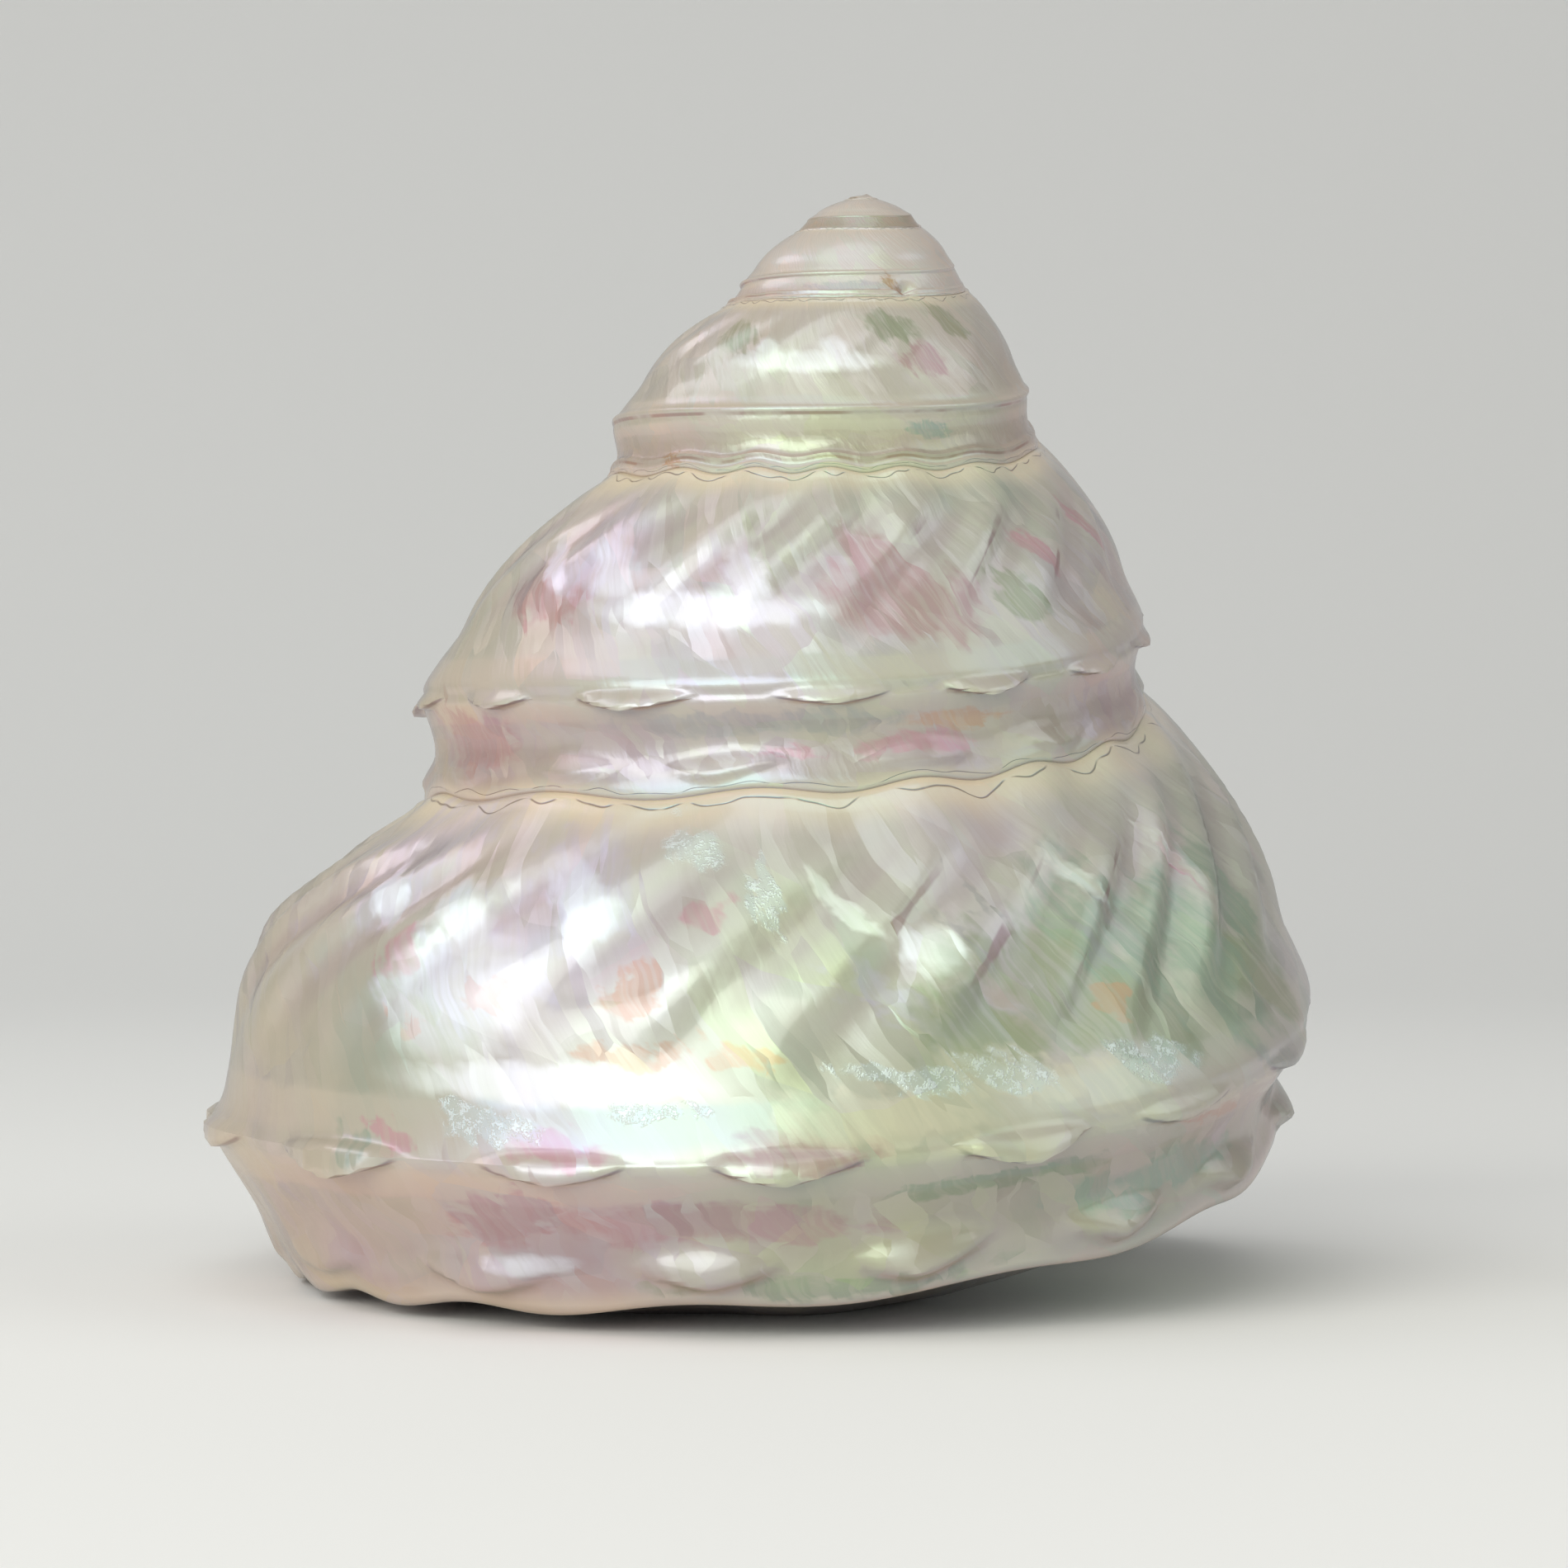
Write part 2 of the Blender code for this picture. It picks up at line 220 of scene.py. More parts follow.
# The relief on that wall: slanting folds on the shoulder, long knobs on the keel and the ridge, a
# raised seam, growth lines, and the low dents that grinding left. Each is a height in mm that
# pushes the wall out along its own normal.
KNOB_TURNS = (-3.0, -0.893, -0.824, -0.756, -0.668, -0.598, 0.128, 0.183, 0.249, 0.309, 0.379, 0.453,
              1.1)
KNOB_COUNT = (-31.0, 0.0, 1.0, 2.0, 3.0, 4.0, 15.0, 16.0, 17.0, 18.0, 19.0, 20.0, 29.0)
KNOB_REACH = 0.33                # half a knob's length, as a share of the way to the next one
FOLD_TURNS = (-3.0, -1.75, -0.883, -0.773, -0.67, -0.604, 0.087, 0.151, 0.189, 0.229, 0.272, 0.331,
              0.372, 0.417, 1.1)
FOLD_COUNT = (-52.0, -34.0, -20.0, -18.0, -16.0, -15.0, 0.0, 2.0, 3.0, 4.0, 5.0, 6.0, 7.0, 8.0, 24.0)
FOLD_SLANT = 0.087               # in turns, between the seam and the keel
FOLD_LEAD = 0.052                # in turns
FOLD_HEIGHT = 0.60
FOLD_PATCH = 17.0                # folds are higher and lower in patches of this size
FULL_RADIUS = 58.0               # the keel's radius where the relief has its full size
KNOB_HEIGHT = 1.8
RIDGE_KNOB_HEIGHT = 2.0
KNOB_POINT = 1.4                 # the lower, the more pointed a knob's ends
KEEL_KNOB = (0.99, 0.08, 0.12, 0.06)     # crest and its sag, facet above and side below, across
RIDGE_KNOB = (1.68, 0.13, 0.30, 0.10)
BAND_MIDDLE = 1.4                # across, between the keel's knobs and the ridge's
KEEL_ROUNDING = 0.4              # in mm
RIDGE_KNOB_LAG = 0.042           # in turns
DENT_HEIGHT = 0.16
DENT_SIZE = 9.0
GROWTH_LINE_HEIGHT = 0.05
SEAM_CORD = (0.019, 0.012, 0.22)     # place across, width across and height
RIDGE_CORD = (1.975, 0.016, 0.10)
UPPER_CORDS = ((0.94, 0.03, 0.26), (1.74, 0.05, 0.26), (1.91, 0.03, 0.14))
PIT = (14.5, -22.5, 98.7)            # the small pit near the tip, in mm
PIT_DEPTH = 0.8
PIT_RADIUS = 0.7


def slope_up(x, low, high):
    """Rises in a straight slope with a rounded foot, from 0 at low to 1 at high."""
    s = np.clip((x - low) / (high - low), 0.0, 1.0)
    return s * s / (s * s + 0.35 * (1 - s))


def long_knob(off, across, crest, sag, above, below):
    """A knob pointed at both ends, with a facet above its crest and a steep side below it."""
    full = np.clip(1 - np.abs(off / KNOB_REACH) ** KNOB_POINT, 0.0, 1.0)
    crest_line = crest + sag * full
    facet = slope_up(across, crest_line - above * full**0.8 - 0.004, crest_line)
    side = 1 - ease(across, crest_line, crest_line + below)
    return full**0.8 * np.where(across < crest_line, facet, side)


def rough(place, size):
    """Smooth noise from -1 to 1 at the given points in mm, with bumps about that size in mm."""
    return np.array([noise.noise(Vector(p)) for p in (place / size).tolist()])


def fold_count(turn, across):
    """Counts the folds along the shoulder: a whole number on each crest."""
    drop = np.clip(across, 0.0, 1.0)
    slant = FOLD_SLANT * (1 - (1 - drop) ** 2)
    return curve(turn - slant + FOLD_LEAD, FOLD_TURNS, FOLD_COUNT)


def knob_count(turn, across):
    """Counts the knobs along the keel and, a little further back, those along the ridge."""
    return curve(turn + RIDGE_KNOB_LAG * (across > BAND_MIDDLE), KNOB_TURNS, KNOB_COUNT)


def cord(across, middle, width, height):
    """A thin cord raised along the turn."""
    return height * np.exp(-((across - middle) / width) ** 2)


def relief(place, turn, along, across):
    """Height in mm at every point."""
    size = keel(turn)[0] / FULL_RADIUS
    grown = 0.4 * ease(turn, -2.6, -1.6) + 0.6 * ease(turn, -1.2, -0.6)
    drop = np.clip(across, 0.0, 1.0)

    fold = 2 * math.pi * fold_count(turn, across)
    reach = curve(drop, (0.0, 0.12, 0.3, 0.5, 0.72, 0.85, 1.0), (0.0, 0.35, 1.0, 0.9, 0.3, 0.0, 0.0))
    uneven = 1 + 0.7 * rough(place, FOLD_PATCH)
    height = FOLD_HEIGHT * grown * size**0.5 * reach * uneven * np.cos(fold + 0.5 * np.cos(fold))

    count = knob_count(turn, across)
    off = count - np.rint(count)
    taller = 1 + 0.35 * np.sin(2.4 * np.rint(count))
    taller *= 1 - 0.6 * ease(turn, -0.3, -0.1) * (1 - ease(turn, 0.08, 0.16))
    knob = long_knob(off, across, *KEEL_KNOB)
    knob_grown = ease(turn, -1.5, -0.95)
    height += KNOB_HEIGHT * knob_grown * size**0.5 * taller * knob * (across < BAND_MIDDLE)
    rounded = KEEL_ROUNDING * size * ease(turn, -2.0, -0.5) * (1 - knob)
    height -= rounded * np.exp(-((across - 1.0) / 0.035) ** 2)
    ridge_knob = long_knob(off, across, *RIDGE_KNOB) * (across > BAND_MIDDLE)
    ridge_grown = 0.35 * knob_grown + 0.65 * ease(turn, -0.2, 0.05) - 0.8 * ease(turn, 0.37, 0.46)
    height += RIDGE_KNOB_HEIGHT * ridge_grown * size**0.5 * ridge_knob

    open_wall = ease(across, 0.0, 0.08) * (1 - ease(across, 1.88, 1.98)) + ease(across, 2.0, 2.15)
    height += DENT_HEIGHT * size**0.5 * open_wall * rough(place, DENT_SIZE)
    growth = np.stack((along * 26.0, across * 1.3, 0 * along), axis=-1)
    height += GROWTH_LINE_HEIGHT * grown * open_wall * rough(growth, 1.0)
    height += size**0.3 * (cord(across, *SEAM_CORD) + cord(across, *RIDGE_CORD))
    upper = ease(turn, -3.2, -2.4) * (1 - ease(turn, -1.3, -1.1))
    for middle, width, rise in UPPER_CORDS:
        height += upper * cord(across, middle, width, rise)
    height -= PIT_DEPTH * np.exp(-(np.linalg.norm(place - np.array(PIT), axis=-1) / PIT_RADIUS) ** 2)
    return height


turn = along - GROWTH_LEAN * lean_share(across) - lip_draw(along, across)
height = relief(read(pearl.data.vertices, "co").reshape(-1, 3) / MM, turn, along, across)
off_seam = (across > 0.0) & (np.abs(across - 2.0) > SLACK)
for name, values in (("relief", height * off_seam * MM), ("folds", fold_count(turn, across)),
                     ("knobs", knob_count(turn, across))):
    pearl.data.attributes.new(name, "FLOAT", "POINT").data.foreach_set("value", values)

# The strip's own base is kept only under the last turn. Then the turns are welded at their seams.
WELD = 0.001 * MM
corners = np.array([p.vertices[:] for p in pearl.data.polygons])
under = across[corners].min(axis=1) > 2.0 - SLACK
covered = along[corners].min(axis=1) < LIP_TURN - (1 - GROWTH_LEAN) - SLACK
bpy.context.tool_settings.mesh_select_mode = (False, False, True)
bpy.ops.object.mode_set(mode="EDIT")
bpy.ops.mesh.select_all(action="DESELECT")
bpy.ops.object.mode_set(mode="OBJECT")
pearl.data.polygons.foreach_set("select", under & covered)
bpy.ops.object.mode_set(mode="EDIT")
bpy.ops.mesh.delete(type="FACE")
bpy.ops.mesh.select_all(action="SELECT")
bpy.ops.mesh.remove_doubles(threshold=WELD)
bpy.ops.mesh.normals_make_consistent(inside=False)
bpy.ops.object.mode_set(mode="OBJECT")

flat = read(pearl.data.vertices, "co")
normals = read(pearl.data.vertex_normals, "vector")
heights = read(pearl.data.attributes["relief"].data, "value", each=1)
pearl.data.vertices.foreach_set("co", flat + normals * np.repeat(heights, 3))
pearl.data.update()


def close_up():
    """From edit mode: fills each opening with a face, and turns all faces outwards as triangles."""
    bpy.ops.mesh.select_all(action="DESELECT")
    bpy.ops.mesh.select_non_manifold()
    bpy.ops.mesh.fill_holes(sides=0)
    bpy.ops.mesh.select_all(action="SELECT")
    bpy.ops.mesh.quads_convert_to_tris()
    bpy.ops.mesh.normals_make_consistent(inside=False)
    bpy.ops.object.mode_set(mode="OBJECT")


bpy.context.tool_settings.mesh_select_mode = (True, False, False)
bpy.ops.object.mode_set(mode="EDIT")
close_up()

# The hollow that the animal lived in. It opens at the lip, behind the shell as it rests, and winds
# up inside the last turns. It is cut out of the grown form and leaves a thin wall.
HOLLOW_SHARE = 0.88
HOLLOW_START = LIP_TURN + 0.03
HOLLOW_END = -1.4
HOLLOW_STEPS = 170
PILLAR = 3.0
FLOOR_DEPTH = 0.3


def inner_floor(turn):
    """Depth at the axis of the wall between a turn and the next one."""
    keel_radius, keel_depth = keel(turn)
    return np.minimum(keel_depth + FLOOR_DEPTH * keel_radius, BASE_CENTRE_DEPTH)


def hollow_point(step_turn, round_share):
    """Radius, depth and turn of the space's outline: 0 to 2 the wall, 3 the axis, 4 the seam again."""
    across = np.minimum(round_share, 3.0)
    below_turn = step_turn - GROWTH_LEAN * lean_share(across) - lip_draw(step_turn, across)
    wall = wall_point(below_turn, across, inner_floor(below_turn))
    inward = np.clip(4.0 - round_share, 0.0, 1.0)
    above = step_turn - 1 - GROWTH_LEAN * inward
    near_lip = ease(step_turn, LIP_TURN - 0.5, LIP_TURN - 0.05)
    roof = inner_floor(above) * (1 - near_lip) + (BASE_CENTRE_DEPTH - PILLAR) * near_lip
    over = wall_point(above, 2.0 + inward, roof)
    is_roof = round_share > 3.0
    return (np.where(is_roof, over[0], wall[0]), np.where(is_roof, over[1], wall[1]),
            np.where(is_roof, above + 1, below_turn))


round_rows = np.concatenate((np.linspace(0.0, 1.0, 16), np.linspace(1.1, 2.0, 10),
                             np.linspace(2.15, 3.0, 7), np.linspace(3.15, 4.0, 8)))
middle_rows = (0.0, 0.18, 0.36, 0.545, 0.727, 0.909, 1.1, 1.88, 2.0, 2.3, 2.6, 3.0, 3.001, 3.4, 3.7)


def inner_wall(column, row):
    """A tube inside the turns, which ends in a rounded tip."""
    share = column / HOLLOW_STEPS
    step_turn = HOLLOW_START + (HOLLOW_END - HOLLOW_START) * share
    samples = [hollow_point(step_turn, np.full(step_turn.shape, place))[:2] for place in middle_rows]
    middle_radius = sum(s[0] for s in samples) / len(samples)
    middle_depth = sum(s[1] for s in samples) / len(samples)
    size = HOLLOW_SHARE * np.sqrt(1 - ease(share, 0.9, 1.03) ** 2)
    radius, depth, turn = hollow_point(step_turn, round_rows[row])
    place = turned(middle_radius + size * (radius - middle_radius),
                   middle_depth + size * (depth - middle_depth), turn)
    return place, step_turn, 4.0 + round_rows[row]


hollow, _, _ = wound_grid("hollow", HOLLOW_STEPS, len(round_rows) - 1, inner_wall)
bpy.ops.object.mode_set(mode="EDIT")
bpy.ops.mesh.select_all(action="SELECT")
bpy.ops.mesh.remove_doubles(threshold=WELD)
close_up()

# The foot is ground flat where the shell would sink into the floor.
bpy.ops.object.select_all(action="DESELECT")
bpy.ops.mesh.primitive_cube_add(size=0.4, location=(0.0, 0.0, -0.2))
ground = bpy.context.object
ground.name = "ground"

bpy.ops.object.select_all(action="DESELECT")
pearl.select_set(True)
bpy.context.view_layer.objects.active = pearl
for cutter in (ground, hollow):
    cut = pearl.modifiers.new(cutter.name, "BOOLEAN")
    cut.operation = "DIFFERENCE"
    cut.solver = "EXACT"
    cut.object = cutter
    bpy.ops.object.modifier_apply(modifier=cut.name)
for cutter in (ground, hollow):
    bpy.data.objects.remove(cutter, do_unlink=True)
bpy.ops.object.shade_smooth_by_angle(angle=math.radians(40.0))

# Its finish. Grinding has cut through the thin layers of mother-of-pearl, so its colour changes in
# small slanting facets along the growth lines. Smooth cream shell is left along the seams and keels.
pearl_finish = bpy.data.materials.new("nacre")
pearl_finish.use_nodes = True
tree = pearl_finish.node_tree
shader = tree.nodes["Principled BSDF"]

# Each tint's colour, and how much of it shows in its patches.
TINTS = {
    "lilac": ((0.52, 0.48, 0.56, 1.0), 0.5),
    "olive": ((0.30, 0.31, 0.17, 1.0), 0.85),
    "sage": ((0.29, 0.34, 0.23, 1.0), 0.75),
    "mauve": ((0.41, 0.26, 0.22, 1.0), 0.85),
    "rust": ((0.50, 0.28, 0.14, 1.0), 0.65),
    "rose": ((0.50, 0.24, 0.25, 1.0), 0.6),
    "slate": ((0.34, 0.32, 0.27, 1.0), 0.6),
    "cream": ((0.58, 0.53, 0.39, 1.0), 0.7),
    "amber": ((0.40, 0.25, 0.10, 1.0), 0.9),
}
# A painted highlight's white, laid on the gleaming patches.
PAINTED_HIGHLIGHT_WHITE = (0.66, 0.64, 0.66, 1.0)
FLAKY = (0.50, 0.60, 0.58, 1.0)
# Painted glints, white, on tiny flecks in the flake spots.
PAINTED_GLINT_WHITE = (0.72, 0.78, 0.76, 1.0)
THIRD_TURN_CREAM = (0.53, 0.47, 0.34, 1.0)
TIP_CREAM = (0.57, 0.52, 0.43, 1.0)
# Mauve for the valleys between the folds, partly painted shade.
VALLEY_SHADE_MAUVE = (0.40, 0.31, 0.29, 1.0)
RIDGE_BROWN = (0.32, 0.20, 0.12, 1.0)
TIP_BROWN = (0.29, 0.23, 0.11, 1.0)
GROWTH_LINE_TAN = (0.40, 0.33, 0.26, 1.0)
# Painted shade under the keel's knobs.
UNDER_KNOB_SHADE = (0.24, 0.19, 0.15, 1.0)
# Painted shade, reddish, on the steep side of the folds.
FLANK_SHADE_RED = (0.26, 0.15, 0.11, 1.0)
CRACK_BROWN = (0.17, 0.14, 0.08, 1.0)
# Each patch: turns along, place across, half its length and height in mm, and tilt in degrees.
PATCHES = {
    "cream": ((0.232, 0.85, 11, 3.6, -12), (0.290, 0.90, 8, 3.0, 0), (-0.86, 0.75, 7, 5, 0),
              (0.20, 1.10, 10, 2.5, 0), (0.160, 1.10, 6, 1.0, -30), (0.150, 1.24, 6, 1.2, -20)),
    "lilac": ((0.411, 0.10, 22, 7, 30), (0.35, 0.30, 12, 6, 40), (0.264, 0.58, 3, 6, 20),
              (-0.573, 0.42, 14, 6, 30), (0.241, 0.64, 5, 3, 0), (0.40, 0.52, 6, 5, 20)),
    "olive": ((0.219, 0.52, 9, 7, 20), (0.245, 0.70, 9, 6, -10), (0.205, 0.62, 12, 10, 0),
              (-0.804, 0.63, 5, 5, -40), (0.27, 1.28, 12, 3, 0), (0.325, 1.88, 16, 4, 0),
              (-1.614, 0.34, 9, 6, 10), (-1.766, 0.28, 9, 5, 0), (-1.846, 0.22, 6, 6, 0),
              (0.13, 0.70, 9, 9, 0)),
    "sage": ((0.181, 0.44, 8, 7, 10), (0.151, 0.58, 7, 12, -14), (0.114, 0.45, 4, 9, -14),
             (0.215, 1.50, 14, 6, 0), (0.446, 0.98, 3, 1.6, -30), (-1.734, 1.28, 6, 7, 0)),
    "mauve": ((-0.740, 0.57, 13, 9, 10), (-0.551, 0.58, 9, 6, 0), (0.416, 1.40, 5, 7, -20),
              (0.403, 1.36, 3, 7, -20), (0.365, 1.42, 11, 6, 0), (0.335, 1.45, 12, 5, 0),
              (-0.487, 1.40, 12, 12, 0), (-1.78, 0.55, 10, 7, 0), (0.319, 0.99, 6, 2.2, 0)),
    "rose": ((-0.840, 0.41, 3, 5, 20), (0.410, 0.44, 4, 2.6, 30), (0.303, 0.32, 3.4, 2, 20),
             (0.437, 0.95, 2.6, 1.6, 0), (0.377, 0.95, 5, 2.2, 0), (-0.650, 1.62, 6, 3.5, 0),
             (-0.702, 1.60, 9, 5, 0), (-0.907, 0.38, 1.6, 7, 10), (0.127, 0.32, 1.2, 5, -10)),
    "rust": ((0.379, 0.52, 4, 1.4, 30), (0.336, 0.52, 5, 1.6, 30), (0.319, 0.71, 3, 2.2, 0),
             (0.345, 0.70, 5, 1.2, 0), (0.412, 0.64, 2.4, 1.8, 30), (0.199, 0.66, 2.4, 1.5, 0),
             (0.195, 1.15, 8, 2.5, -20), (0.140, 1.18, 4, 3, -20), (-0.732, 1.37, 10, 4, 0)),
    "slate": ((-0.643, 1.30, 22, 5, 0), (0.178, 0.35, 1.2, 5, 10), (0.193, 0.45, 1.2, 5, 20),
              (0.217, 0.32, 1.2, 4, 0), (0.231, 0.45, 1.2, 5, 20), (0.150, 1.02, 5, 2, -30),
              (-2.66, 1.5, 22, 8, 0)),
    "flakes_and_painted_glints": ((0.284, 0.28, 1.6, 4, -30), (0.301, 0.13, 4, 2.4, -30), (0.277, 0.80, 5, 1.6, -15),
              (0.246, 0.81, 4.5, 2.4, -15), (0.204, 0.83, 5, 2.4, -15), (0.40, 0.90, 5, 1.6, 0),
              (0.35, 0.86, 5, 1.2, 0)),
    "amber": ((-2.715, 1.46, 4.5, 18, 0), (-1.52, 1.80, 3, 7, 0)),
}
# Gleaming patches: their colour is whitened as a painted highlight, and their surface is turned to the
# front.
GLEAM_AND_PAINTED_HIGHLIGHT_PATCHES = (
    (-1.67, 0.54, 24, 3.6, 0), (-1.70, 0.44, 5, 4, 20), (-1.64, 0.44, 4, 4, -20),
    (-0.645, 0.62, 19, 3.2, 0), (-0.602, 0.46, 5, 5, 35), (-0.672, 0.47, 4, 6, -20),
    (-0.560, 0.42, 3, 5, 35), (0.243, 0.44, 3.4, 3.4, 40), (0.177, 0.29, 1.5, 3.6, 15),
    (0.126, 0.29, 1.0, 4.2, 5), (0.260, 0.31, 1.2, 4.6, 30), (0.385, 0.34, 3.2, 4.4, 40),
    (0.343, 0.27, 3.4, 4.0, 40), (0.422, 0.28, 2.0, 4.4, 40), (0.412, 1.66, 5, 2.4, 0),
    (0.395, 0.55, 10, 6, 30), (0.375, 0.78, 16, 2.4, 0))
SKIN = (360.0, 40.0, 1.0)        # mm per turn along and mm per share across, on the last turn
PATCH_REACH = 1.5                # a patch fades out at this many times its half length and height


def node(kind, inputs, **settings):
    """Adds a node with its settings. Each input is linked, or set to a number or colour."""
    made = tree.nodes.new("ShaderNode" + kind)
    for name, value in settings.items():
        setattr(made, name, value)
    for name, value in inputs.items():
        if isinstance(value, bpy.types.NodeSocket):
            tree.links.new(value, made.inputs[name])
        else:
            made.inputs[name].default_value = value
    return made.outputs


def blended(share, below, above):
    """One colour over another, as strong as its share."""
    return node("Mix", {0: share, 6: below, 7: above}, data_type="RGBA")[2]


def ranged(value, low, high, to_low=0.0, to_high=1.0):
    """Passes smoothly from to_low at low to to_high at high."""
    return node("MapRange", {"Value": value, "From Min": low, "From Max": high, "To Min": to_low,
                             "To Max": to_high}, interpolation_type="SMOOTHSTEP")["Result"]


def worked(way, a, b=0.0):
    """Arithmetic on one or two values."""
    return node("Math", {0: a, 1: b}, operation=way)["Value"]


def product(value, *others):
    """The value times each of the others."""
    for other in others:
        value = worked("MULTIPLY", value, other)
    return value


def apart(a, b):
    """How far two values lie apart."""
    return worked("ABSOLUTE", worked("SUBTRACT", a, b))


def centred(noise_value):
    """A noise of 0 to 1, moved to lie around 0."""
    return worked("SUBTRACT", noise_value, 0.5)


def scattered(random_colour):
    """A random colour as a vector that points anywhere, each part from -0.5 to 0.5."""
    return node("VectorMath", {0: random_colour, 1: (0.5, 0.5, 0.5)}, operation="SUBTRACT")["Vector"]


def scaled(vector, sizes):
    return node("VectorMath", {0: vector, 1: sizes}, operation="MULTIPLY")["Vector"]


def summed(vector, other):
    return node("VectorMath", {0: vector, 1: other}, operation="ADD")["Vector"]


def grain(vector, scale, detail=2.0):
    """Cloudy noise, finer the higher its scale and detail."""
    return node("TexNoise", {"Vector": vector, "Scale": scale, "Detail": detail})


def graded(value, stops):
    """A ramp through the given places and their colours or grey values."""
    made = tree.nodes.new("ShaderNodeValToRGB")
    tree.links.new(value, made.inputs["Fac"])
    ramp = made.color_ramp
    while len(ramp.elements) < len(stops):
        ramp.elements.new(0.5)
    for element, (position, shade) in zip(ramp.elements, stops):
        element.position = position
        element.color = (*shade, 1.0) if isinstance(shade, tuple) else (shade, shade, shade, 1.0)
    return made.outputs["Color"]


coordinates = node("TexCoord", {})
skin = scaled(coordinates["UV"], SKIN)
parts = node("SeparateXYZ", {"Vector": coordinates["UV"]})
along_line, across_line = parts["X"], parts["Y"]
fine_clouds = grain(coordinates["Object"], 170.0, 3.0)["Fac"]
quarter = worked("ADD", product(across_line, 0.25), product(centred(fine_clouds), 0.016))

# The growth facets: long cells that slant with the growth lines, each with a chance of its own.
bend = scaled(grain(skin, 0.10)["Color"], (4.0, 4.0, 0.0))
bent = summed(skin, bend)
cells = node("TexVoronoi", {"Vector": scaled(bent, (0.36, 0.07, 1.0)), "Scale": 1.0,
                            "Randomness": 0.9})["Color"]
broad_cells = node("TexVoronoi", {"Vector": scaled(bent, (0.11, 0.07, 1.0)), "Scale": 1.0,
                                  "Randomness": 1.0})["Color"]
chance = node("SeparateColor", {"Color": cells})
broad_chance = node("SeparateColor", {"Color": broad_cells})
clouds = grain(coordinates["Object"], 42.0, 4.0)["Fac"]

# The colour of each zone from the seam to the hollow, how creamy it is, and the pearly hues over it.
zone = graded(quarter, (
    (0.0, (0.62, 0.56, 0.38)), (0.014, (0.62, 0.56, 0.39)), (0.03, (0.50, 0.46, 0.39)),
    (0.11, (0.47, 0.435, 0.38)), (0.206, (0.43, 0.39, 0.30)), (0.210, (0.46, 0.42, 0.31)),
    (0.245, (0.47, 0.41, 0.32)), (0.275, (0.51, 0.44, 0.31)), (0.315, (0.47, 0.38, 0.27)),
    (0.322, (0.42, 0.31, 0.23)), (0.41, (0.33, 0.22, 0.17)), (0.455, (0.39, 0.31, 0.23)),
    (0.485, (0.53, 0.47, 0.34)), (0.53, (0.21, 0.18, 0.11)), (0.75, (0.26, 0.22, 0.14)),
    (1.0, (0.56, 0.53, 0.47))))
creamy = graded(quarter, (
    (0.0, 1.0), (0.012, 0.7), (0.03, 0.1), (0.206, 0.0), (0.210, 0.6), (0.236, 0.6), (0.242, 0.2),
    (0.266, 0.2), (0.275, 0.7), (0.315, 0.7), (0.322, 0.1), (0.44, 0.1), (0.485, 1.0), (0.53, 0.5),
    (1.0, 0.1)))
creamy = worked("MAXIMUM", creamy, ranged(along_line, -1.9, -2.5, 0.0, 0.6))
pearly = worked("SUBTRACT", 1.0, creamy)

hues = graded(worked("ADD", product(clouds, 0.88), product(chance["Red"], 0.12)), (
    (0.30, (0.44, 0.34, 0.29)), (0.40, (0.50, 0.46, 0.45)), (0.48, (0.55, 0.52, 0.42)),
    (0.58, (0.49, 0.48, 0.33)), (0.70, (0.34, 0.38, 0.25))))
steadier = product(pearly, ranged(along_line, -2.4, -0.9, 0.35, 1.0))
colour = blended(product(steadier, 0.55), zone, hues)
colour = blended(ranged(along_line, -1.2, -1.8, 0.0, 0.4), colour, THIRD_TURN_CREAM)
colour = blended(ranged(along_line, -2.1, -3.0, 0.0, 0.8), colour, TIP_CREAM)

# The patches have torn edges. The gleaming patches, whitened as painted highlights, are smoother.
edge = worked("ADD", product(centred(chance["Green"]), 0.36), product(centred(fine_clouds), 1.1))
tear = scattered(grain(skin, 0.30, 3.0)["Color"])
ragged = summed(skin, scaled(tear, (9.0, 7.0, 0.0)))
wavy = summed(skin, scaled(tear, (5.0, 3.0, 0.0)))


def nearness(patches, surface):
    """1 in the middle of each of these patches, and 0 outside them."""
    nearest = 0.0
    for patch_along, patch_across, length, high, tilt in patches:
        spot = node("Mapping", {
            "Vector": surface, "Location": (patch_along * SKIN[0], patch_across * SKIN[1], 0.0),
            "Rotation": (0.0, 0.0, math.radians(tilt)),
            "Scale": (length * PATCH_REACH, high * PATCH_REACH, 60.0)}, vector_type="TEXTURE")["Vector"]
        faded = node("TexGradient", {"Vector": spot}, gradient_type="SPHERICAL")["Fac"]
        nearest = worked("MAXIMUM", faded, nearest)
    return nearest


gleam_and_painted_highlight = ranged(nearness(GLEAM_AND_PAINTED_HIGHLIGHT_PATCHES, wavy), 0.12, 0.62)
masks = {}
for tint, patches in PATCHES.items():
    nearest = nearness(patches, ragged)
    present = worked("GREATER_THAN", nearest, 0.001)
    masks[tint] = product(ranged(worked("ADD", nearest, edge), 0.24, 0.56), present)

